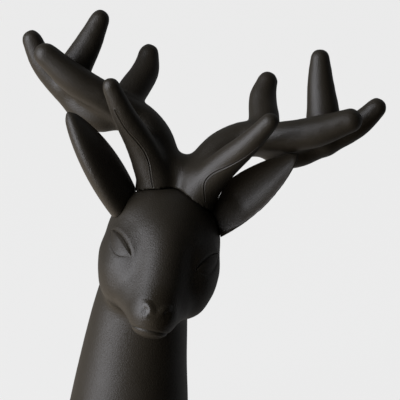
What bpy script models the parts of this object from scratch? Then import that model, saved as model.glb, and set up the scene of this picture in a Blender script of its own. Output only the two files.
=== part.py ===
"""Bust of a stag in moulded black plastic: head and neck, two plug-in ears and one antler piece.

Metres, +Z up, face towards -Y. The neck's flat cut underside lies at z = 0, with its middle near the origin.
The head, the ears and the antlers are laid out in head coordinates, in millimetres: X to the deer's left,
Y to the back and Z up, from the point midway between the eyes.
"""

from math import copysign, pi, radians, sin

import bmesh
import bpy
from mathutils import Euler, Matrix, Vector

MM = 0.001

# Driving dimensions, in millimetres and degrees
HEAD_PLACE = (21.0, -24.0, 105.0)
HEAD_LEAN_BACK, HEAD_ROLL, HEAD_TURN = 8.0, 13.0, 7.0
ANTLER_ROLL, ANTLER_TWIST = -1.0, -11.0  # how the antler piece sits on the crown
SEAM_GAP = 0.5  # between the head and what is plugged into it

EAR_LENGTH, EAR_THICKNESS, EAR_ROOT_DEPTH = 67.0, 16.0, 0.12  # it goes that share of its length into the head
EAR_BACK = 0.6  # how wide its back is, as a share of its front
EAR_WIDTH = {"left": 29.5, "right": 38.0}
EAR_BEND = {"left": 4.0, "right": 0.5}  # how far its edges come forward
EAR_HOLLOW = {"left": 8.0, "right": 0.0}  # how deep its front is scooped
EAR_CORNER = {"left": 0.8, "right": 1.0}  # 1 for a round section, less for a squarer one
EAR_ROOT = {"left": (20.6, 9.0, 19.4), "right": (22.0, 9.0, 16.4)}
EAR_SPLAY = {"left": 37.0, "right": 43.5}  # from straight up towards straight out
EAR_LEAN = {"left": 17.0, "right": 13.0}  # forward
EAR_TURN = {"left": 16.0, "right": 64.0}  # its front, from straight ahead towards the antlers

HEAD_VOXEL, ANTLER_VOXEL, EAR_VOXEL = 1.5, 1.6, 1.0
HEAD_FACES, ANTLER_FACES, EAR_FACES = 4200, 3600, 700
HEAD_PASSES, ANTLER_PASSES, EAR_PASSES = 60, 14, 16  # of smoothing once melted, which rounds the junctions

collection = None


def clear_scene():
    for thing in list(bpy.data.objects):
        bpy.data.objects.remove(thing)


def new_collection(name, hidden=False):
    made = bpy.data.collections.new(name)
    bpy.context.scene.collection.children.link(made)
    made.hide_render = hidden
    return made


def plastic(name, colour, roughness):
    made = bpy.data.materials.new(name)
    made.use_nodes = True
    shader = made.node_tree.nodes["Principled BSDF"]
    shader.inputs["Base Color"].default_value = (*colour, 1)
    shader.inputs["Roughness"].default_value = roughness
    shader.inputs["Metallic"].default_value = 0
    return made


def turned(x, y, z):
    """A turn of z degrees about Z, then y about Y, then x about X."""
    return Euler((radians(x), radians(y), radians(z)), "ZYX").to_matrix().to_4x4()


def head_frame():
    """Carries head coordinates to the bust."""
    return Matrix.Translation(Vector(HEAD_PLACE) * MM) @ turned(-HEAD_LEAN_BACK, HEAD_ROLL, HEAD_TURN)


# ---- shapes, each a bmesh ----

def ball(centre, radii, turn=(0, 0, 0)):
    made = bmesh.new()
    bmesh.ops.create_uvsphere(made, u_segments=32, v_segments=20, radius=1)
    size = Matrix.Diagonal((*[r * MM for r in radii], 1))
    made.transform(Matrix.Translation(Vector(centre) * MM) @ turned(*turn) @ size)
    return made


def mirrored(shape):
    """The same shape on the other side of the middle plane."""
    other = shape.copy()
    other.transform(Matrix.Scale(-1, 4, (1, 0, 0)))
    bmesh.ops.reverse_faces(other, faces=other.faces[:])
    return other


def merge(shape, other):
    mesh = bpy.data.meshes.new("merge")
    other.to_mesh(mesh)
    shape.from_mesh(mesh)
    bpy.data.meshes.remove(mesh)


def limb(stations, wear=0.0, roundness=4):
    """A round-ended tube through stations (x, y, z, radius).

    Melting wears a tube of radius r down by wear / r, so it starts that much thicker.
    """
    stations = [(x, y, z, radius + wear / radius) for x, y, z, radius in stations]
    curve = bpy.data.curves.new("limb", "CURVE")
    curve.dimensions = "3D"
    curve.bevel_depth = MM
    curve.bevel_resolution = roundness
    curve.resolution_u = 8
    curve.use_fill_caps = True
    spline = curve.splines.new("BEZIER")
    spline.bezier_points.add(len(stations) - 1)
    for point, (x, y, z, radius) in zip(spline.bezier_points, stations):
        point.co = Vector((x, y, z)) * MM
        point.radius = radius
        point.handle_left_type = point.handle_right_type = "AUTO"
    holder = bpy.data.objects.new("limb", curve)
    bpy.context.scene.collection.objects.link(holder)
    graph = bpy.context.evaluated_depsgraph_get()
    made = bmesh.new()
    made.from_mesh(bpy.data.meshes.new_from_object(holder.evaluated_get(graph)))
    bmesh.ops.remove_doubles(made, verts=made.verts[:], dist=1e-6)
    bpy.data.objects.remove(holder)
    for x, y, z, radius in (stations[0], stations[-1]):
        merge(made, ball((x, y, z), (radius,) * 3))
    return made


def melted(name, shapes, voxel, passes):
    """The shapes as one skin: a voxel remesh, then passes of smoothing."""
    whole = bmesh.new()
    for shape in shapes:
        merge(whole, shape)
    mesh = bpy.data.meshes.new(name)
    whole.to_mesh(mesh)
    blob = bpy.data.objects.new(name, mesh)
    bpy.context.scene.collection.objects.link(blob)
    remesh = blob.modifiers.new("melt", "REMESH")
    remesh.mode = "VOXEL"
    remesh.voxel_size = voxel * MM
    soften = blob.modifiers.new("soften", "SMOOTH")
    soften.factor = 0.5
    soften.iterations = passes
    graph = bpy.context.evaluated_depsgraph_get()
    skin = bpy.data.meshes.new_from_object(blob.evaluated_get(graph))
    bpy.data.objects.remove(blob)
    return skin


def wear_of(voxel, passes):
    """How fast that smoothing wears a tube down, in square millimetres."""
    return passes * voxel * voxel / 8


# ---- objects ----

def node(name, mesh, material, frame, faces):
    """A sub-part's object, thinned to about that many triangles."""
    made = bpy.data.objects.new(name, mesh)
    made.matrix_world = frame
    mesh.materials.clear()
    mesh.materials.append(material)
    mesh.shade_smooth()
    collection.objects.link(made)
    thin = made.modifiers.new("thin", "DECIMATE")
    thin.ratio = min(1, faces / (2 * len(mesh.polygons)))
    return made


def cutter(name, mesh, cutters):
    made = bpy.data.objects.new(name, mesh)
    cutters.objects.link(made)
    made.hide_render = True
    made.display_type = "WIRE"
    return made


def subtract(target, tool, name):
    cut = target.modifiers.new(name, "BOOLEAN")
    cut.operation = "DIFFERENCE"
    cut.object = tool


# ---- the pieces ----

def head_shapes():
    skull = ball((0, 8.5, 7), (32.3, 30, 30))
    middle = ball((0, 2.5, -5), (34.3, 28, 28))
    cheek = ball((12, -1, -11), (21.5, 23, 20))
    jowl = ball((13, -1, -19.5), (18, 20.5, 15))
    lip = ball((9.5, -15.5, -22.5), (11, 14, 14.5))
    nose = ball((0, -30, -26), (12, 9.5, 8.5), (45, 0, 0))
    muzzle = limb([(0, 0, 4, 26), (0, -8, -7, 22), (0, -17, -16, 16.8), (0, -23, -24, 15), (0, -25.8, -30, 14.6)])
    bridge = limb([(0, -6, 11, 16.5), (0, -13, 3, 16), (0, -17.5, -8, 15.5), (0, -20.5, -18, 15)])
    jaw = limb([(0, -26.5, -32, 13), (0, -14, -28, 14), (0, 2, -20, 17)])
    sides = [cheek, jowl, lip]
    return [skull, middle, nose, muzzle, bridge, jaw, *sides, *[mirrored(side) for side in sides]]


def neck_shapes():
    """A tube that widens down to its cut, and the nape behind it, already in the bust's coordinates."""
    throat = [(20, -13, 110, 20), (11.9, -7, 86, 24.9), (5.5, -2, 50, 29.5), (1.5, 0, 15, 34), (-1.5, 0, -15, 38)]
    nape = [(19, 0, 106, 17), (12.5, 2, 80, 20), (6, 1.5, 50, 26), (2, 0, 15, 28)]
    return [limb(throat, roundness=12), limb(nape, roundness=12)]


def head_and_neck(material, floor):
    shapes = head_shapes()
    for shape in shapes:
        shape.transform(head_frame())
    skin = melted("head_and_neck", [*shapes, *neck_shapes()], HEAD_VOXEL, HEAD_PASSES)
    made = node("head_and_neck", skin, material, Matrix(), HEAD_FACES)
    subtract(made, floor, "underside")
    return made


def antler_shapes(hand):
    """One antler, on the deer's left for a hand of 1. The two differ a little, as cast plastic does."""
    beam = [(10, 8, 28, 12.3), (14, 13, 50, 12), (25, 18, 66.7, 10.4), (40, 20, 72.2, 9.8), (55, 20, 68.8, 10),
            (73.5, 20, 78.5, 8), (90, 17, 90.7, 6.7), (98, 14, 101.7, 5.2)]
    brow = [(12, 5, 38, 10.2), (23.5, -3, 55, 8), (35, -13, 69, 6), (43.5, -20, 81.5, 4.3)]
    front = [(36, 15, 72, 8.5), (51, 8, 76.6, 8.5), (68, 3, 82.7, 8.6), (85.2, -2, 92.3, 6.3)]
    inner = [(41, 20, 74, 8.5), (37.9, 28, 85.8, 8.7), (34.5, 35, 98.3, 7.8), (35, 37, 107.7, 5.5)]
    upper = [(73.3, 20, 80, 10), (70.7, 20, 93, 9.2), (66.4, 20, 107, 7.5), (62.8, 20, 122, 5.1)]
    # the left one's tines lie this much further out and higher, the right one's the other way
    unevenness = ((0.2, 0.8), (0, -0.6), (0, -0.8), (0.4, -0.9), (-0.7, 1.5))
    shapes = []
    for stations, (out, rise) in zip((beam, brow, front, inner, upper), unevenness):
        root = stations[:1]
        shifted = [(x + hand * out, y, z + hand * rise, radius) for x, y, z, radius in stations[1:]]
        tine = limb(root + shifted, wear_of(ANTLER_VOXEL, ANTLER_PASSES))
        shapes.append(tine if hand > 0 else mirrored(tine))
    return shapes


def antlers(material, seat_cutter):
    saddle = ball((0, 13, 39.5), (20, 12.5, 16.5))
    fuller_left_root = ball((12.5, 5, 40), (12, 10, 14))
    shapes = [*antler_shapes(1), *antler_shapes(-1), saddle, fuller_left_root]
    skin = melted("antlers", shapes, ANTLER_VOXEL, ANTLER_PASSES)
    seat = turned(0, ANTLER_ROLL, ANTLER_TWIST)
    made = node("antlers", skin, material, head_frame() @ seat, ANTLER_FACES)
    subtract(made, seat_cutter, "crown seat")
    return made


def fullness(along):
    """The ear's width at a point along it, as a share of its widest: a blunt root, a belly and a drawn-out tip."""
    root_cut, lean_to_tip, plumpness = 0.31, 1.15, 0.75
    return sin(pi * (root_cut + (1 - root_cut) * along) ** lean_to_tip) ** plumpness


def squared(value, corner):
    """Bends a circle's sine or cosine towards a square's."""
    return copysign(abs(value) ** corner, value)


def leaf(side):
    """An ear standing up along Z, its front towards -Y: a ball drawn out into a thick leaf, scooped in front."""
    thinning, closing, hollow_from = 0.6, 2.2, 0.35  # towards the tip, at the ball's two poles, and along the ear
    made = bmesh.new()
    bmesh.ops.create_uvsphere(made, u_segments=48, v_segments=40, radius=1)
    for vert in made.verts:
        ring = max(vert.co.xy.length, 1e-6)
        along = min(max((vert.co.z + 1) / 2, 0), 1) * (1 + EAR_ROOT_DEPTH) - EAR_ROOT_DEPTH
        full = fullness(along)
        across = squared(vert.co.x / ring, EAR_CORNER[side]) * min(1, ring * closing)
        through = squared(vert.co.y / ring, EAR_CORNER[side]) * min(1, ring * closing)
        narrowing = 1 - (1 - EAR_BACK) * (through + 1) / 2
        vert.co.x = across * full * narrowing * EAR_WIDTH[side] / 2
        vert.co.y = through * full ** thinning * EAR_THICKNESS / 2 - across ** 2 * full * EAR_BEND[side]
        if through < 0:
            scoop = (1 - abs(across) ** 3) * full * min(max(along / hollow_from, 0), 1)
            vert.co.y -= through * scoop * EAR_HOLLOW[side]
        vert.co.z = along * EAR_LENGTH
    bmesh.ops.scale(made, vec=(MM, MM, MM), verts=made.verts[:])
    return made


def ear(side, material, seat_cutter, antler_cutter):
    """A thick leaf, plugged in above the cheek and clear of the antlers."""
    hand = 1 if side == "left" else -1
    skin = melted(side + "_ear", [leaf(side)], EAR_VOXEL, EAR_PASSES)
    root = Vector(EAR_ROOT[side]) * MM
    root.x *= hand
    place = Matrix.Translation(root) @ turned(EAR_LEAN[side], hand * EAR_SPLAY[side], -hand * EAR_TURN[side])
    made = node(side + "_ear", skin, material, head_frame() @ place, EAR_FACES)
    subtract(made, seat_cutter, "head seat")
    subtract(made, antler_cutter, "room for the antlers")


def swollen(piece, cutters):
    """The piece before its own cuts, grown by the seam gap: it cuts room for itself from a neighbour."""
    made = cutter(piece.name + "_room", piece.data, cutters)
    made.matrix_world = piece.matrix_world
    made.modifiers.new("thin", "DECIMATE").ratio = piece.modifiers["thin"].ratio
    swell = made.modifiers.new("swell", "DISPLACE")
    swell.mid_level = 0
    swell.strength = SEAM_GAP * MM
    return made


def floor_block(cutters):
    """What is cut off below the bust."""
    mesh = bpy.data.meshes.new("floor_block")
    block = bmesh.new()
    bmesh.ops.create_cube(block, size=0.4, matrix=Matrix.Translation((0, 0, -0.2)))
    block.to_mesh(mesh)
    return cutter("floor_block", mesh, cutters)


def main():
    global collection
    clear_scene()
    collection = new_collection("stag_bust")
    cutters = new_collection("cutters", hidden=True)
    black = plastic("matt black plastic", (0.02, 0.019, 0.018), 0.5)
    head = head_and_neck(black, floor_block(cutters))
    head_room = swollen(head, cutters)
    antler_room = swollen(antlers(black, head_room), cutters)
    for side in ("left", "right"):
        ear(side, black, head_room, antler_room)


main()
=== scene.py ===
# A stag's head and neck in moulded black plastic, with plugged-in ears and antlers.
from math import copysign, cos, pi, radians, sin

import bpy
import numpy as np
from mathutils import Euler, Matrix, Vector
from mathutils.bvhtree import BVHTree


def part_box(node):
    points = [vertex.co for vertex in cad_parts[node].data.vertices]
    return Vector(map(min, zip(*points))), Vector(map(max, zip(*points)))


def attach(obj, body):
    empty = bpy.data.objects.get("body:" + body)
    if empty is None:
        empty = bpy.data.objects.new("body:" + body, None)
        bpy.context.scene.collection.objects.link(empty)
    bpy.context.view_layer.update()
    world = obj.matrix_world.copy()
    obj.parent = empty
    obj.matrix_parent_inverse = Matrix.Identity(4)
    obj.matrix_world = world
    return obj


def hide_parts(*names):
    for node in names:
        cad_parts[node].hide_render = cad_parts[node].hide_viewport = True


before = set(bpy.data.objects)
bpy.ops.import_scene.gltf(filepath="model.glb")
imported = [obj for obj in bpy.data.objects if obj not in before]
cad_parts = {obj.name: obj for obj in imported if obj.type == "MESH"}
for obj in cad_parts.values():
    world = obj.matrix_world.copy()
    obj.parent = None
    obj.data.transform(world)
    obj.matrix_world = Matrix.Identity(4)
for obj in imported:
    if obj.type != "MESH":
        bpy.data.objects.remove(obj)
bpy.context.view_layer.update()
bpy.ops.object.select_all(action="DESELECT")

mm = 0.001
seamGap = 0.5 * mm
neckLow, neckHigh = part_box("head_and_neck")
# found from the left, front and top sides of the head and neck's box
betweenEyes = Vector((neckHigh.x - 32.0 * mm, neckLow.y + 43.25 * mm, neckHigh.z - 35.3 * mm))


def turned(x, y, z):  # z degrees about Z, then y about Y, then x about X
    return Euler((radians(x), radians(y), radians(z)), "ZYX").to_matrix().to_4x4()


headPose = {"leanBack": 8, "roll": 13, "turn": 7}  # degrees
headTurn = turned(-headPose["leanBack"], headPose["roll"], headPose["turn"])
headFrame = Matrix.Translation(betweenEyes) @ headTurn

# the lens and sensor are in millimetres, the rest in metres and degrees, measured from between the eyes
view = {
    "lens": 120, "sensor": 36,
    "distance": 0.7275, "elevation": 8, "right": 0.0208, "up": 0.0289,
}


def addCamera():
    tilt = radians(view["elevation"])
    right = Vector((1, 0, 0))
    up = Vector((0, sin(tilt), cos(tilt)))
    back = Vector((0, -cos(tilt), sin(tilt)))
    target = betweenEyes + right * view["right"] + up * view["up"]
    bpy.ops.object.camera_add()
    camera = bpy.context.object
    camera.data.lens = view["lens"]
    camera.data.sensor_width = view["sensor"]
    turn = Matrix((right, up, back)).transposed().to_4x4()
    camera.matrix_world = Matrix.Translation(target + back * view["distance"]) @ turn
    bpy.context.scene.camera = camera


studio = {
    "floorSize": 80.0,
    "paper": "f0f0f0", "paperGlow": 0.95, "paperShade": "303030",
    # the sky's colours, and how far round the unit sphere each change runs
    "behind": "707070", "front": "121212", "toBehind": (-0.05, 0.45),
    "below": "d8c8b4", "belowGlow": 1.1, "toBelow": (0.0, -0.6), "toLeft": (0.2, -0.7),
    "key": {"place": (-1.18, -0.74, 0.46), "size": (1.3, 1.6), "power": 32, "colour": "f4f6ff"},
}


def linear(hexText):  # an sRGB colour such as "26231f" as the linear values that shaders take
    parts = [int(hexText[i:i + 2], 16) / 255 for i in (0, 2, 4)]
    return (*[p / 12.92 if p <= 0.04045 else ((p + 0.055) / 1.055) ** 2.4 for p in parts], 1)


def addNode(tree, kind, settings=(), links=()):
    made = tree.nodes.new(kind)
    for key, value in dict(settings).items():
        if isinstance(key, str) and hasattr(made, key):
            setattr(made, key, value)
        else:
            made.inputs[key].default_value = value
    for key, source in dict(links).items():
        tree.links.new(source, made.inputs[key])
    return made


def emptyTree(owner):
    owner.use_nodes = True
    owner.node_tree.nodes.clear()
    return owner.node_tree


def addAreaLight(name, place, size, power, colour):
    bpy.ops.object.light_add(type="AREA", location=place)
    light = bpy.context.object
    light.name = name
    light.data.shape = "RECTANGLE"
    light.data.size, light.data.size_y = size
    light.data.energy = power
    light.data.color = linear(colour)[:3]
    light.rotation_euler = (betweenEyes - light.location).to_track_quat("-Z", "Y").to_euler()


paperLight = {"Color": linear(studio["paper"]), "Strength": studio["paperGlow"]}


def addStudio():
    bpy.ops.mesh.primitive_plane_add(size=studio["floorSize"], location=(0, 0, 0))
    floor = bpy.context.object
    floor.name = "floor"
    material = bpy.data.materials.new("palePaper")
    tree = emptyTree(material)
    matt = addNode(tree, "ShaderNodeBsdfDiffuse", {"Color": linear(studio["paperShade"])})
    glow = addNode(tree, "ShaderNodeEmission", paperLight)
    both = addNode(tree, "ShaderNodeAddShader", {}, {0: matt.outputs[0], 1: glow.outputs[0]})
    addNode(tree, "ShaderNodeOutputMaterial", {}, {"Surface": both.outputs[0]})
    floor.data.materials.append(material)
    # the pale paper is seen, but the lamps and the sky alone light the plastic
    floor.visible_diffuse = floor.visible_glossy = floor.visible_shadow = False
    addAreaLight("key", **studio["key"])
    addSky()


def addSky():  # bright behind, dim in front, and warm at the lower left, as light comes off a table
    world = bpy.data.worlds.new("studio")
    bpy.context.scene.world = world
    tree = emptyTree(world)
    where = addNode(tree, "ShaderNodeTexCoord")
    axes = addNode(tree, "ShaderNodeSeparateXYZ", {}, {0: where.outputs["Generated"]})
    start, end = studio["toBehind"]
    fade = addNode(tree, "ShaderNodeMapRange", {"From Min": start, "From Max": end},
                   {"Value": axes.outputs["Y"]})
    tones = addNode(tree, "ShaderNodeValToRGB", {}, {"Fac": fade.outputs[0]})
    tones.color_ramp.elements[0].color = linear(studio["front"])
    tones.color_ramp.elements[1].color = linear(studio["behind"])
    above = addNode(tree, "ShaderNodeBackground", {"Strength": 1.0}, {"Color": tones.outputs[0]})
    start, end = studio["toBelow"]
    depth = addNode(tree, "ShaderNodeMapRange",
                    {"From Min": start, "From Max": end, "To Max": studio["belowGlow"]},
                    {"Value": axes.outputs["Z"]})
    start, end = studio["toLeft"]
    left = addNode(tree, "ShaderNodeMapRange", {"From Min": start, "From Max": end},
                   {"Value": axes.outputs["X"]})
    glow = addNode(tree, "ShaderNodeMath", {"operation": "MULTIPLY"},
                   {0: depth.outputs[0], 1: left.outputs[0]})
    below = addNode(tree, "ShaderNodeBackground", {"Color": linear(studio["below"])},
                    {"Strength": glow.outputs[0]})
    lit = addNode(tree, "ShaderNodeAddShader", {}, {0: above.outputs[0], 1: below.outputs[0]})
    seen = addNode(tree, "ShaderNodeBackground", paperLight)
    ray = addNode(tree, "ShaderNodeLightPath")
    both = addNode(tree, "ShaderNodeMixShader", {},
                   {0: ray.outputs["Is Camera Ray"], 1: lit.outputs[0], 2: seen.outputs[0]})
    addNode(tree, "ShaderNodeOutputWorld", {}, {"Surface": both.outputs[0]})


plastic = {
    "colour": "302b22", "roughness": 0.46,
    "grain": 0.75 * mm, "grainDepth": 0.18 * mm,  # the real grain is finer, but wouldn't show
    "flow": 9 * mm, "flowChange": 0.05,  # patches of slightly different gloss from the moulding
    "nose": (3, -38, -27), "noseReach": (7 * mm, 14 * mm), "noseRoughness": 0.5,
}


def mouldedBlackPlastic(name):
    # Injection-moulded plastic from a spark-textured mould:
    # near black, with broad soft lights and a fine even grain.
    made = bpy.data.materials.new(name)
    tree = emptyTree(made)
    where = addNode(tree, "ShaderNodeTexCoord")
    grain = addNode(tree, "ShaderNodeTexNoise",
                    {"Scale": 1 / plastic["grain"], "Detail": 2.0, "Roughness": 0.6},
                    {"Vector": where.outputs["Object"]})
    relief = addNode(tree, "ShaderNodeBump", {"Strength": 1.0, "Distance": plastic["grainDepth"]},
                     {"Height": grain.outputs[0]})
    flow = addNode(tree, "ShaderNodeTexNoise", {"Scale": 1 / plastic["flow"], "Detail": 3.0},
                   {"Vector": where.outputs["Object"]})
    low, high = plastic["roughness"] - plastic["flowChange"], plastic["roughness"] + plastic["flowChange"]
    gloss = addNode(tree, "ShaderNodeMapRange", {"To Min": low, "To Max": high}, {"Value": flow.outputs[0]})
    # the tip of the nose is polished, so it takes the brightest light
    nose = headFrame @ (Vector(plastic["nose"]) * mm)
    away = addNode(tree, "ShaderNodeVectorMath", {"operation": "DISTANCE", 1: nose},
                   {0: where.outputs["Object"]})
    near, far = plastic["noseReach"]
    polish = addNode(tree, "ShaderNodeMapRange",
                     {"From Min": near, "From Max": far, "To Min": plastic["noseRoughness"], "To Max": 1.0},
                     {"Value": away.outputs["Value"]})
    gloss = addNode(tree, "ShaderNodeMath", {"operation": "MULTIPLY"},
                    {0: gloss.outputs[0], 1: polish.outputs[0]})
    shader = addNode(tree, "ShaderNodeBsdfPrincipled", {"Base Color": linear(plastic["colour"]), "IOR": 1.5},
                     {"Roughness": gloss.outputs[0], "Normal": relief.outputs[0]})
    addNode(tree, "ShaderNodeOutputMaterial", {}, {"Surface": shader.outputs[0]})
    return made


def onlySelect(*objects):
    bpy.ops.object.select_all(action="DESELECT")
    for thing in objects:
        thing.select_set(True)
    bpy.context.view_layer.objects.active = objects[0]


def applyModifier(thing, kind, **settings):
    onlySelect(thing)
    modifier = thing.modifiers.new(kind.lower(), kind)
    for key, value in settings.items():
        setattr(modifier, key, value)
    bpy.ops.object.modifier_apply(modifier=modifier.name)


def addBall(centre, radii, turn=(0, 0, 0), place=Matrix()):
    bpy.ops.mesh.primitive_uv_sphere_add(segments=32, ring_count=20, radius=1)
    ball = bpy.context.object
    size = Matrix.Diagonal((*[r * mm for r in radii], 1))
    ball.matrix_world = place @ Matrix.Translation(Vector(centre) * mm) @ turned(*turn) @ size
    return ball


def addLimb(stations, wear=0.0, place=Matrix(), roundness=4):
    # a round-ended tube through stations of (x, y, z, radius), in millimetres
    # melting wears a tube down by wear / radius, so it starts that much thicker
    stations = [(x, y, z, radius + wear / radius) for x, y, z, radius in stations]
    bpy.ops.curve.primitive_bezier_curve_add()
    tube = bpy.context.object
    tube.data.bevel_depth = mm
    tube.data.bevel_resolution = roundness
    tube.data.resolution_u = 8
    tube.data.use_fill_caps = True
    points = tube.data.splines[0].bezier_points
    points.add(len(stations) - 2)
    for point, (x, y, z, radius) in zip(points, stations):
        point.co = Vector((x, y, z)) * mm
        point.radius = radius
        point.handle_left_type = point.handle_right_type = "AUTO"
    bpy.ops.object.convert(target="MESH")
    tube = bpy.context.object
    bpy.ops.object.mode_set(mode="EDIT")
    bpy.ops.mesh.select_all(action="SELECT")
    bpy.ops.mesh.remove_doubles(threshold=0.001 * mm)
    bpy.ops.object.mode_set(mode="OBJECT")
    tube.matrix_world = place
    ends = [addBall((x, y, z), (radius,) * 3, place=place)
            for x, y, z, radius in (stations[0], stations[-1])]
    return [tube, *ends]


def mirroredCopy(thing, place):  # the same thing on the other side of the middle plane of place
    onlySelect(thing)
    bpy.ops.object.duplicate()
    other = bpy.context.object
    other.matrix_world = place @ Matrix.Scale(-1, 4, (1, 0, 0)) @ place.inverted() @ thing.matrix_world
    bpy.ops.object.transform_apply()
    bpy.ops.object.mode_set(mode="EDIT")
    bpy.ops.mesh.select_all(action="SELECT")
    bpy.ops.mesh.normals_make_consistent(inside=False)
    bpy.ops.object.mode_set(mode="OBJECT")
    return other


def melt(name, things, voxel, passes):  # the things as one skin with rounded junctions
    onlySelect(*things)
    bpy.ops.object.join()
    whole = bpy.context.object
    whole.name = name
    bpy.ops.object.transform_apply()
    applyModifier(whole, "REMESH", mode="VOXEL", voxel_size=voxel * mm)
    applyModifier(whole, "SMOOTH", factor=0.5, iterations=passes)
    return whole


def swollenCopy(thing, by, voxel):  # a cutter that leaves a seam of that width
    onlySelect(thing)
    bpy.ops.object.duplicate()
    cutter = bpy.context.object
    applyModifier(cutter, "DISPLACE", mid_level=0, strength=by)
    applyModifier(cutter, "REMESH", mode="VOXEL", voxel_size=voxel * mm)
    return cutter


def cutAway(thing, cutter):
    applyModifier(thing, "BOOLEAN", operation="DIFFERENCE", object=cutter)


# Every shape below is in millimetres and degrees. The head's own axes have their origin between the eyes,
# +X to the deer's left, +Y to the back and +Z to the crown. The throat and nape are in the object's axes.
headShape = {
    "voxel": 1.5, "passes": 60, "roomVoxel": 1.2,
    "kept": 0.7,  # the share of the finished skin's faces that is kept
    # balls: centre, radii and, for the nose, its turn
    "skull": ((0, 8.5, 7), (32.3, 30, 30)),
    "middle": ((0, 2.5, -5), (34.3, 28, 28)),
    "cheek": ((12, -1, -11), (21.5, 23, 20)),
    "jowl": ((13, -1, -19.5), (18, 20.5, 15)),
    "lip": ((9.5, -15.5, -22.5), (11, 14, 14.5)),
    "nose": ((0, -30, -26), (12, 9.5, 8.5), (45, 0, 0)),
    # limbs: places and radii
    "muzzle": [(0, 0, 4, 26), (0, -8, -7, 22), (0, -17, -16, 16.8), (0, -23, -24, 15),
               (0, -25.8, -30, 14.6)],
    "bridge": [(0, -6, 11, 16.5), (0, -13, 3, 16), (0, -17.5, -8, 15.5), (0, -20.5, -18, 15)],
    "jaw": [(0, -26.5, -32, 13), (0, -14, -28, 14), (0, 2, -20, 17)],
    "throat": [(20, -13, 110, 20), (11.9, -7, 86, 24.9), (5.5, -2, 50, 29.5), (1.5, 0, 15, 34),
               (-1.5, 0, -15, 38)],
    "nape": [(19, 0, 106, 17), (12.5, 2, 80, 20), (6, 1.5, 50, 26), (2, 0, 15, 28)],
}


def addHead():
    shape = headShape
    things = []
    for name in ("cheek", "jowl", "lip"):
        side = addBall(*shape[name], place=headFrame)
        things += [side, mirroredCopy(side, headFrame)]
    things += [addBall(*shape[name], place=headFrame) for name in ("skull", "middle", "nose")]
    for name in ("muzzle", "bridge", "jaw"):
        things += addLimb(shape[name], place=headFrame)
    for name in ("throat", "nape"):
        things += addLimb(shape[name], roundness=12)
    return melt("headAndNeck", things, shape["voxel"], shape["passes"])


eyeShape = {
    "centre": (24.6, -15.4, 0.8), "outward": (0.66, -0.69, 0.28), "along": (0.55, 0.71, 0.45),
    "area": (38, 26, 20),
    "lidMiddle": 1.4, "lidHalf": 12.6, "lidHeight": 3.7, "lidDrop": 0.3, "lidFullness": 0.8,
    "ballMiddle": -2, "ballInner": 7.8, "ballOuter": 13.6, "ballDepth": 4.9, "ballDrop": 0.5,
    "fade": (0.7, 1.15),  # towards the corners, in half lids
    # relief across the eye: 0 is the ball's lower edge, 1 the upper lid, and each stretch beyond them 1 more
    "stretch": 4,
    "across": (-1.6, -0.5, -0.12, 0, 0.15, 0.45, 0.72, 0.9, 1.0, 1.12, 1.5, 2.2, 3.2),
    "relief": (0, 0.2, 0.12, -0.12, 0.02, 0.45, 0.48, 0.0, -0.52, 0.32, 0.72, 0.34, 0),
}
noseShape = {
    "nostril": (6.0, -38.2, -29.3), "area": (32, 22, 24),
    "hollow": 0.25, "hollowReach": 3.4,
    "wing": 0.75, "wingRadius": 3.2, "wingInner": 2.2, "wingOuter": 3.4,
    "wingSide": (-0.6, 0, 0.8), "wingSteepness": 1.3, "wingStart": 0.3,
}
mouthShape = {
    "area": (36, 30, 16), "middle": -30, "front": -15, "height": -39.4, "half": 13.5, "fadeFrom": 0.7,
    "rise": (-5.5, -3.0, -1.2, -0.45, 0, 0.45, 1.5, 3.0), "relief": (0, 0.5, 0.5, 0.1, -0.6, 0.0, 0.15, 0),
}


def facing(centre, outward, along):  # a place on the skin: X runs along it and Z stands out of it
    up = Vector(outward).normalized()
    side = Vector(along) - up * up.dot(Vector(along))
    side.normalize()
    turn = Matrix((side, up.cross(side), up)).transposed().to_4x4()
    return Matrix.Translation(Vector(centre) * mm) @ turn


def meshValues(items, name):
    values = np.empty(len(items) * 3)
    items.foreach_get(name, values)
    return values.reshape(-1, 3)


def localPlaces(points, place):  # world points as columns of millimetres along place's axes
    toLocal = np.array(place.inverted())
    return (points @ toLocal[:3, :3].T + toLocal[:3, 3]).T / mm


def insideBox(place, area):
    def inside(points):
        places = localPlaces(points, place)
        return np.all([abs(values) < reach / 2 for values, reach in zip(places, area)], axis=0)
    return inside


def refine(thing, inside):  # splits the faces whose middles are inside
    onlySelect(thing)
    bpy.ops.object.mode_set(mode="EDIT")
    bpy.ops.mesh.select_mode(type="FACE")
    bpy.ops.mesh.select_all(action="DESELECT")
    bpy.ops.object.mode_set(mode="OBJECT")
    thing.data.polygons.foreach_set("select", inside(meshValues(thing.data.polygons, "center")))
    bpy.ops.object.mode_set(mode="EDIT")
    bpy.ops.mesh.subdivide(number_cuts=1)
    bpy.ops.mesh.vertices_smooth(factor=0.5, repeat=2)
    bpy.ops.object.mode_set(mode="OBJECT")


def press(thing, reliefAt):  # moves the skin out or in by millimetres found from where it is
    points = meshValues(thing.data.vertices, "co")
    normals = meshValues(thing.data.vertices, "normal")
    points += normals * reliefAt(points)[:, None] * mm
    thing.data.vertices.foreach_set("co", points.ravel())
    thing.data.update()


def bump(value):  # a smooth hill, 1 at 0 and 0 from 1 on
    return np.clip(1 - value ** 2, 0, 1) ** 2


def fading(value, start, end):  # 1 up to start, 0 from end
    return np.clip((end - value) / (end - start), 0, 1)


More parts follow.
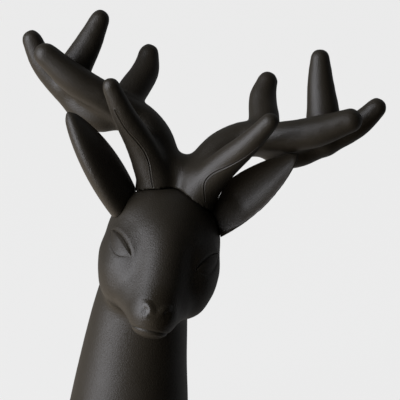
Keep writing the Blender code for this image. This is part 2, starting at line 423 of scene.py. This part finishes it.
def eyeRelief(along, across, outward):
    shape = eyeShape
    lidSpan = abs(along - shape["lidMiddle"]) / shape["lidHalf"]
    lid = shape["lidHeight"] * np.clip(1 - lidSpan ** 2, 0, 1) ** shape["lidFullness"] - shape["lidDrop"]
    fromBall = along - shape["ballMiddle"]
    ballSpan = abs(fromBall) / np.where(fromBall < 0, shape["ballInner"], shape["ballOuter"])
    ball = -shape["ballDepth"] * np.clip(1 - ballSpan ** 2, 0, 1) - shape["ballDrop"]
    share = (across - ball) / (lid - ball)
    share = np.where(across < ball, (across - ball) / shape["stretch"], share)
    share = np.where(across > lid, 1 + (across - lid) / shape["stretch"], share)
    relief = np.interp(share, shape["across"], shape["relief"])
    near = abs(outward) < shape["area"][2] / 2
    return relief * near * fading(lidSpan, *shape["fade"])


def nostrilRelief(x, y, z):
    # a soft hollow under a wing that stands out on the hollow's upper and inner side
    shape = noseShape
    apart = [value - middle for value, middle in zip((abs(x), y, z), shape["nostril"])]
    away = np.sqrt(sum(value ** 2 for value in apart))
    above = sum(value * side for value, side in zip(apart, shape["wingSide"])) / np.maximum(away, 0.1)
    above = np.clip(shape["wingSteepness"] * above - shape["wingStart"], 0, 1)
    hollow = -shape["hollow"] * bump(away / shape["hollowReach"])
    fromCrest = away - shape["wingRadius"]
    crest = bump(fromCrest / np.where(fromCrest < 0, shape["wingInner"], shape["wingOuter"]))
    return hollow + shape["wing"] * crest * above


def mouthRelief(x, y, z):
    shape = mouthShape
    relief = np.interp(z - shape["height"], shape["rise"], shape["relief"], 0, 0)
    return relief * (y < shape["front"]) * fading(abs(x), shape["half"] * shape["fadeFrom"], shape["half"])


def addFace(head):
    for hand in (1, -1):
        eyePlace = headFrame @ Matrix.Scale(hand, 4, (1, 0, 0)) @ facing(
            eyeShape["centre"], eyeShape["outward"], eyeShape["along"])
        refine(head, insideBox(eyePlace, eyeShape["area"]))
        press(head, lambda points: eyeRelief(*localPlaces(points, eyePlace)))
    noseMiddle = Vector((0, *noseShape["nostril"][1:])) * mm
    refine(head, insideBox(headFrame @ Matrix.Translation(noseMiddle), noseShape["area"]))
    press(head, lambda points: nostrilRelief(*localPlaces(points, headFrame)))
    mouthMiddle = Vector((0, mouthShape["middle"], mouthShape["height"])) * mm
    refine(head, insideBox(headFrame @ Matrix.Translation(mouthMiddle), mouthShape["area"]))
    press(head, lambda points: mouthRelief(*localPlaces(points, headFrame)))


def cutFlat(thing):  # the bust's underside
    onlySelect(thing)
    bpy.ops.object.mode_set(mode="EDIT")
    bpy.ops.mesh.select_all(action="SELECT")
    bpy.ops.mesh.bisect(plane_co=(0, 0, 0), plane_no=(0, 0, 1), clear_inner=True, use_fill=True)
    bpy.ops.object.mode_set(mode="OBJECT")


# the left antler, in the head's axes turned by the roll and the twist
antlerShape = {
    "voxel": 1.6, "passes": 14, "fineVoxel": 0.8, "finePasses": 3, "roomVoxel": 1.2,
    "roll": -1, "twist": -11,
    "saddle": ((0, 13, 39.5), (20, 12.5, 16.5)),
    "fullerRoot": ((12.5, 5, 40), (12, 10, 14)),
    "beam": [(10, 8, 28, 12.3), (14, 13, 50, 12), (25, 18, 66.7, 10.4), (40, 20, 72.2, 9.8),
             (55, 20, 68.8, 10), (73.5, 20, 78.5, 8), (90, 17, 90.7, 6.7), (98, 14, 101.7, 5.2)],
    "brow": [(12, 5, 38, 10.2), (23.5, -3, 55, 8), (35, -13, 69, 6), (43.5, -20, 81.5, 4.3)],
    "front": [(36, 15, 72, 8.5), (51, 8, 76.6, 8.5), (68, 3, 82.7, 8.6), (85.2, -2, 92.3, 6.3)],
    "inner": [(41, 20, 74, 8.5), (37.9, 28, 85.8, 8.7), (34.5, 35, 98.3, 7.8), (35, 37, 107.7, 5.5)],
    "upper": [(73.3, 20, 80, 10), (70.7, 20, 93, 9.2), (66.4, 20, 107, 7.5), (62.8, 20, 122, 5.1)],
}
# how much further out and higher the left antler's tines lie; the right antler's lie the other way
unevenness = {
    "beam": (0.2, 0.8), "brow": (0, -0.6), "front": (0, -0.8), "inner": (0.4, -0.9), "upper": (-0.7, 1.5),
}
partingLine = {
    "left": [(17.4, -2.5, 32.6), (16, -5.3, 37.3), (15.1, -6.9, 42), (16.6, -7.9, 45.6), (19.8, -9.2, 49),
             (24.7, -10.9, 52.2), (29.5, -12.7, 55.9), (34.2, -14.8, 60), (39.8, -17.9, 67)],
    "right": [(-11.7, -4.6, 34), (-13.7, -5.8, 38.7), (-15.2, -7.3, 43.9), (-18, -8.8, 49.9),
              (-22.6, -11.3, 54.8), (-31.8, -15.5, 61.5), (-38.6, -19.9, 70)],
    "rounds": 6,  # of corner cutting
    "finerWithin": (1.8, 1.08), "from": (0, 0.25, 0.55, 1.0), "relief": (-0.4, -0.2, 0.12, 0),
}
antlerFrame = headFrame @ turned(0, antlerShape["roll"], antlerShape["twist"])


def skinLine(thing, place, stops):  # a smooth line of close points past the stops, laid on the skin
    line = [place @ (Vector(stop) * mm) for stop in stops]
    for _ in range(partingLine["rounds"]):
        cut = [line[0]]
        for start, end in zip(line, line[1:]):
            cut += [start.lerp(end, 0.25), start.lerp(end, 0.75)]
        line = [*cut, line[-1]]
    skin = BVHTree.FromObject(thing, bpy.context.evaluated_depsgraph_get())
    return np.array([skin.find_nearest(point)[0] for point in line])


def awayFrom(line, points):  # millimetres from each point to the line, measured only near it
    margin = 3 * mm
    away = np.full(len(points), 2 * margin / mm)
    near = np.all((points > line.min(axis=0) - margin) & (points < line.max(axis=0) + margin), axis=1)
    apart = points[near][:, None, :] - line[None, :, :]
    away[near] = np.sqrt((apart ** 2).sum(axis=2).min(axis=1)) / mm
    return away


def addPartingLines(antlers):
    for side in ("left", "right"):
        line = skinLine(antlers, antlerFrame, partingLine[side])
        for reach in partingLine["finerWithin"]:
            refine(antlers, lambda points: awayFrom(line, points) < reach)
        profile = partingLine["from"], partingLine["relief"]
        press(antlers, lambda points: np.interp(awayFrom(line, points), *profile))


def addAntlers(headRoom):
    shape = antlerShape
    # the smoothing takes wear / radius off a limb's radius
    wear = shape["passes"] * shape["voxel"] ** 2 / 8
    things = [addBall(*shape[name], place=antlerFrame) for name in ("saddle", "fullerRoot")]
    for hand in (1, -1):
        for name, (out, rise) in unevenness.items():
            root, *rest = shape[name]
            rest = [(x + hand * out, y, z + hand * rise, radius) for x, y, z, radius in rest]
            stations = [(hand * x, y, z, radius) for x, y, z, radius in [root, *rest]]
            things += addLimb(stations, wear, antlerFrame)
    antlers = melt("antlerPiece", things, shape["voxel"], shape["passes"])
    room = swollenCopy(antlers, seamGap, shape["roomVoxel"])
    applyModifier(antlers, "SUBSURF", levels=1, render_levels=1)
    cutAway(antlers, headRoom)
    applyModifier(antlers, "REMESH", mode="VOXEL", voxel_size=shape["fineVoxel"] * mm)
    applyModifier(antlers, "SMOOTH", factor=0.5, iterations=shape["finePasses"])
    addPartingLines(antlers)
    return antlers, room


earShape = {
    "voxel": 0.6, "passes": 45,
    "length": 67, "thickness": 16, "backShare": 0.6, "hollowFrom": 0.35, "roundEnds": 2.2,
    "rootCut": 0.31, "rootDepth": 0.12, "leanToTip": 1.15, "plumpness": 0.75, "thinning": 0.6,
    "plugInset": 1.4, "plugLength": 0.24, "plugRoom": 0.3 * mm,
    "left": {"root": (20.6, 9, 19.4), "splay": 37, "lean": 17, "turn": 16,
             "width": 29.5, "bend": 4, "hollow": 8, "corner": 0.8},
    "right": {"root": (22, 9, 16.4), "splay": 43.5, "lean": 13, "turn": 64,
              "width": 38, "bend": 0.5, "hollow": 0, "corner": 1},
}


def fullness(along):  # the ear's width at a point along it, as a share of its widest
    cut = earShape["rootCut"]
    return sin(pi * (cut + (1 - cut) * along) ** earShape["leanToTip"]) ** earShape["plumpness"]


def squared(value, corner):  # bends a circle's sine or cosine towards a square's
    return copysign(abs(value) ** corner, value)


def addLeaf(side, inset=0, share=1):
    # a ball drawn out into a thick leaf along Z, bent about its length and scooped in front
    # share is how much of the leaf's length is made
    shape, pose = earShape, earShape[side]
    bpy.ops.mesh.primitive_uv_sphere_add(segments=72, ring_count=60, radius=1)
    leaf = bpy.context.object
    for vert in leaf.data.vertices:
        ring = max(vert.co.xy.length, 1e-6)
        along = min(max((vert.co.z + 1) / 2, 0), 1) * (share + shape["rootDepth"]) - shape["rootDepth"]
        full = fullness(along)
        closing = min(1, ring * shape["roundEnds"])
        across = squared(vert.co.x / ring, pose["corner"]) * closing
        through = squared(vert.co.y / ring, pose["corner"]) * closing
        narrowing = 1 - (1 - shape["backShare"]) * (through + 1) / 2
        x = across * (full * pose["width"] / 2 * narrowing - inset)
        y = through * (full ** shape["thinning"] * shape["thickness"] / 2 - inset)
        y -= across ** 2 * full * pose["bend"]
        if through < 0:
            deepening = min(max(along / shape["hollowFrom"], 0), 1)
            y -= through * (1 - abs(across) ** 3) * full * deepening * pose["hollow"]
        vert.co = Vector((x, y, along * shape["length"])) * mm
    hand = 1 if side == "left" else -1
    root = Vector(pose["root"]) * mm
    root.x *= hand
    turn = turned(pose["lean"], hand * pose["splay"], -hand * pose["turn"])
    leaf.matrix_world = headFrame @ Matrix.Translation(root) @ turn
    onlySelect(leaf)
    bpy.ops.object.transform_apply()
    return leaf


def addEar(side, headRoom, antlerRoom, head):  # with a plug at its root, and the plug's socket in the head
    plug = addLeaf(side, earShape["plugInset"], earShape["plugLength"])
    applyModifier(plug, "REMESH", mode="VOXEL", voxel_size=earShape["voxel"] * mm)
    socket = swollenCopy(plug, earShape["plugRoom"], earShape["voxel"])
    cutAway(head, socket)
    ear = addLeaf(side)
    ear.name = side + "Ear"
    applyModifier(ear, "REMESH", mode="VOXEL", voxel_size=earShape["voxel"] * mm)
    applyModifier(ear, "SMOOTH", factor=0.5, iterations=earShape["passes"])
    for room in (antlerRoom, headRoom):
        cutAway(ear, room)
    applyModifier(ear, "BOOLEAN", operation="UNION", object=plug)
    for used in (plug, socket):
        bpy.data.objects.remove(used)
    return ear


def finishPiece(piece, node, material):
    onlySelect(piece)
    bpy.ops.object.shade_smooth_by_angle(angle=radians(50))
    piece.data.materials.clear()
    piece.data.materials.append(material)
    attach(piece, "root")
    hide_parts(node)


addCamera()
addStudio()
print("studio ready")
bodyPlastic = mouldedBlackPlastic("mouldedBlackPlasticBody")
antlerPlastic = mouldedBlackPlastic("mouldedBlackPlasticAntlers")
earPlastic = mouldedBlackPlastic("mouldedBlackPlasticEars")

head = addHead()
headRoom = swollenCopy(head, seamGap, headShape["roomVoxel"])
applyModifier(head, "SUBSURF", levels=1, render_levels=1)
addFace(head)
cutFlat(head)
applyModifier(head, "DECIMATE", ratio=headShape["kept"])
print("head and neck ready:", len(head.data.polygons), "faces")
antlers, antlerRoom = addAntlers(headRoom)
print("antlers ready:", len(antlers.data.polygons), "faces")
leftEar = addEar("left", headRoom, antlerRoom, head)
rightEar = addEar("right", headRoom, antlerRoom, head)
print("ears ready:", len(leftEar.data.polygons), "faces each")
for cutter in (headRoom, antlerRoom):
    bpy.data.objects.remove(cutter)

finishPiece(head, "head_and_neck", bodyPlastic)
finishPiece(antlers, "antlers", antlerPlastic)
finishPiece(leftEar, "left_ear", earPlastic)
finishPiece(rightEar, "right_ear", earPlastic)

bpy.context.scene.view_settings.view_transform = "Standard"
